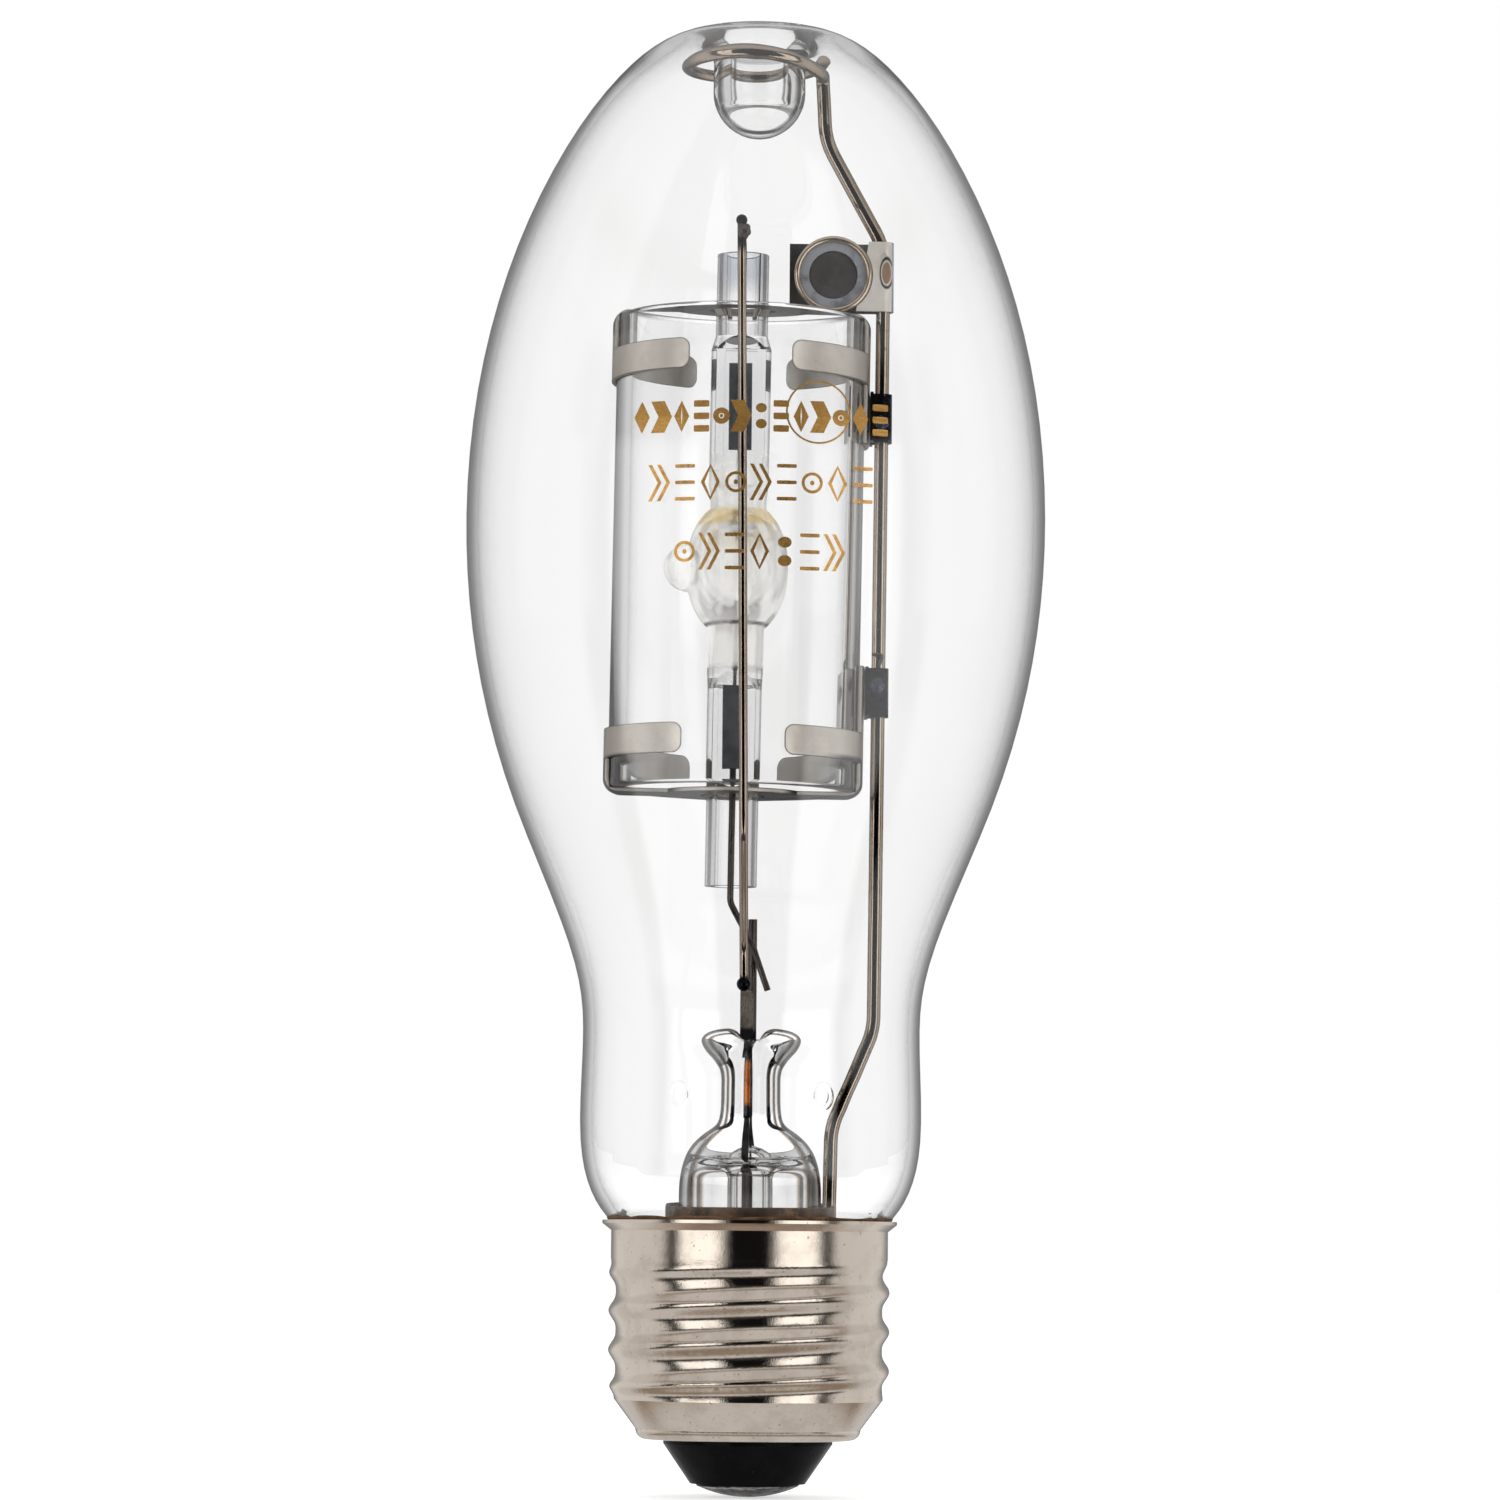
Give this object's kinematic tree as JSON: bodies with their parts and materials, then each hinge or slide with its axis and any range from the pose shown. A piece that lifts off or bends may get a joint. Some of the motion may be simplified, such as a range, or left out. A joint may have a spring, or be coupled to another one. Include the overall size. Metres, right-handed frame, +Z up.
{
  "type": "metal halide lamp",
  "caption": "Discharge lamp with a clear bulged outer bulb, a shrouded quartz arc tube on a wire frame, and a rolled Edison screw base.",
  "frame": {"origin": "lowest point of the centre contact, on the axis of the screw base", "axes": "+Z up along the lamp's axis from the base to the crown of the bulb; the front of the lamp, with the return lead, looks along -Y; the frame wire stands at +X"},
  "size_m": [0.0542, 0.0542, 0.1375],
  "materials": {
    "bulb_glass": "clear, thin walled",
    "quartz": "clear, frosted at the pinched ends",
    "stem_glass": "clear, drawn and pressed",
    "shell_metal": "warm nickel plate, faint dark specks",
    "cement": "rough brown",
    "black_glass": "glossy black vitrified glass",
    "contact_metal": "dull, dark with handling",
    "frame_metal": "satin, lightly heat tinted",
    "plate_metal": "satin beige nickel",
    "band_metal": "heat tinted",
    "lead_metal": "drawn wire, satin",
    "seal_copper": "bright copper coat",
    "foil_metal": "dark matt foil",
    "tungsten": "dark, sintered",
    "cup_metal": "pressed, satin with a rolled rim",
    "getter_metal": "matt charcoal powder, pressed"
  },
  "bodies": {
    "root": {"outer_bulb": "bulb_glass", "screw_shell": "shell_metal", "basing_cement": "cement", "base_insulator": "black_glass", "centre_contact": "contact_metal", "stem_glass": "stem_glass", "exhaust_tube": "stem_glass", "stem_band": "band_metal", "front_stem_lead": "lead_metal", "rear_stem_lead": "lead_metal", "front_seal_wire": "seal_copper", "rear_seal_wire": "seal_copper", "front_tail_wire": "lead_metal", "rear_tail_wire": "lead_metal", "frame_wire": "frame_metal", "getter_bracket": "frame_metal", "getter_cup": "cup_metal", "getter_pill": "getter_metal", "shroud_tube": "quartz", "upper_end_plate": "plate_metal", "lower_end_plate": "plate_metal", "upper_frame_strap": "frame_metal", "lower_frame_strap": "frame_metal", "strap_tail_wire": "lead_metal", "arc_tube": "quartz", "upper_foil": "foil_metal", "lower_foil": "foil_metal", "upper_electrode": "tungsten", "lower_electrode": "tungsten", "upper_arc_lead": "lead_metal", "lower_arc_lead": "lead_metal", "return_lead": "frame_metal"}
  },
  "joints": []
}
